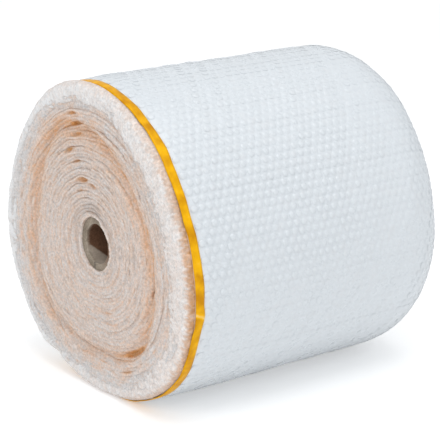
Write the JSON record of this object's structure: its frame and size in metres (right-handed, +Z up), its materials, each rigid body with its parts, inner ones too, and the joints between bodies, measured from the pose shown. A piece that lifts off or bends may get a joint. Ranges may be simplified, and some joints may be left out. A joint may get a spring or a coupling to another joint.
{
  "type": "roll of bubble bags",
  "caption": "Wide roll of clear bubble-film bags wound on a thick cardboard tube, lying on its side, with a yellow-orange strip round the bags' open end.",
  "frame": {"origin": "middle of the roll's box at floor level, on the flat spot that the roll lies on", "axes": "+X along the roll's axis from the bags' open end (with the strip) to their folded end, +Z up, +Y towards the back, where the web's outer end lies"},
  "size_m": [0.4348, 0.399, 0.399],
  "materials": {
    "bubble_film": "clear polyethylene bubble film, milky white in layers, glossy bubbles",
    "strip_film": "yellow-orange film, slightly wavy, semi-gloss",
    "tube_board": "raw grey-brown spiral-wound board"
  },
  "bodies": {
    "root": {"wound_bags": "bubble_film", "mouth_strip": "strip_film", "cardboard_tube": "tube_board"}
  },
  "joints": []
}
